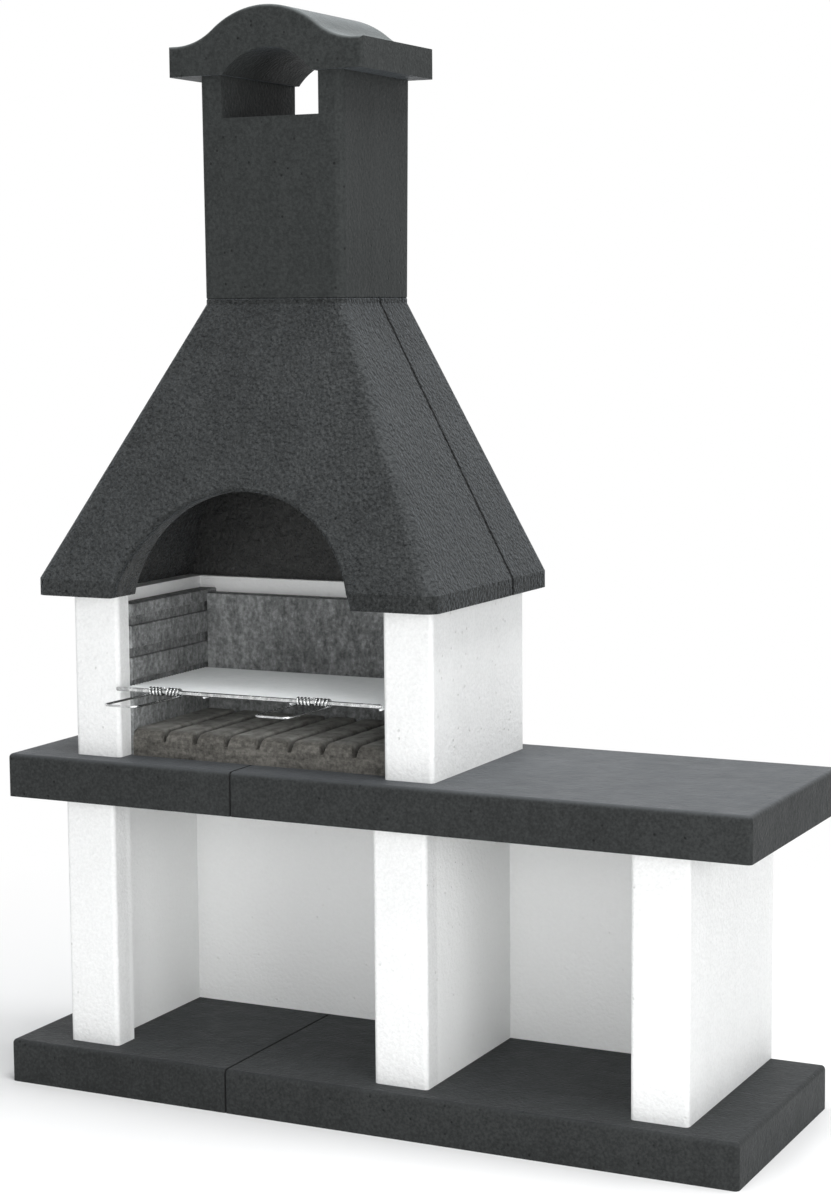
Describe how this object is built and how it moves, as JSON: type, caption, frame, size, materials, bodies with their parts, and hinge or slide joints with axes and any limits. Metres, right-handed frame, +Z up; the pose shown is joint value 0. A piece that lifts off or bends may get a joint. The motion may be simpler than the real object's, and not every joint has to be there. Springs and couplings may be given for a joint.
{
  "type": "charcoal barbecue",
  "caption": "Free-standing masonry charcoal barbecue of cast concrete blocks with an arched hood, a chimney, a wire cooking grill that slides out and a side worktop over open storage bays.",
  "frame": {"origin": "centre of the base slabs' underside, on the ground", "axes": "+X to the right seen from the front, +Y to the back, +Z up; the mouth of the hood faces -Y"},
  "size_m": [1.772, 0.7285, 2.409],
  "materials": {
    "charcoal_concrete": "painted rough cast concrete, matt anthracite",
    "white_concrete": "painted cast concrete, matt white",
    "refractory": "cast refractory concrete, sooted",
    "chromed_wire": "chromed steel wire"
  },
  "bodies": {
    "masonry": {"base_slab_left": "charcoal_concrete", "base_slab_right": "charcoal_concrete", "worktop_slab_left": "charcoal_concrete", "worktop_slab_right": "charcoal_concrete", "lower_wall_left": "white_concrete", "lower_wall_centre": "white_concrete", "lower_wall_right": "white_concrete", "lower_panel_left": "white_concrete", "lower_panel_right": "white_concrete", "firebox_wall_left": "white_concrete", "firebox_wall_right": "white_concrete", "firebox_wall_back": "white_concrete", "lining_left": "refractory", "lining_right": "refractory", "lining_back": "refractory", "fire_grate": "refractory", "hood_front_casting": "charcoal_concrete", "hood_back_casting": "charcoal_concrete", "chimney": "charcoal_concrete", "chimney_cap": "charcoal_concrete"},
    "grill": {"grill_frame": "chromed_wire", "grill_bars": "chromed_wire", "grill_handle_left": "chromed_wire", "grill_handle_right": "chromed_wire"}
  },
  "joints": [
    {"name": "grill_slide", "type": "slide", "parent": "masonry", "child": "grill", "axis": [0, -1, 0], "range_m": [0, 0.22]}
  ]
}
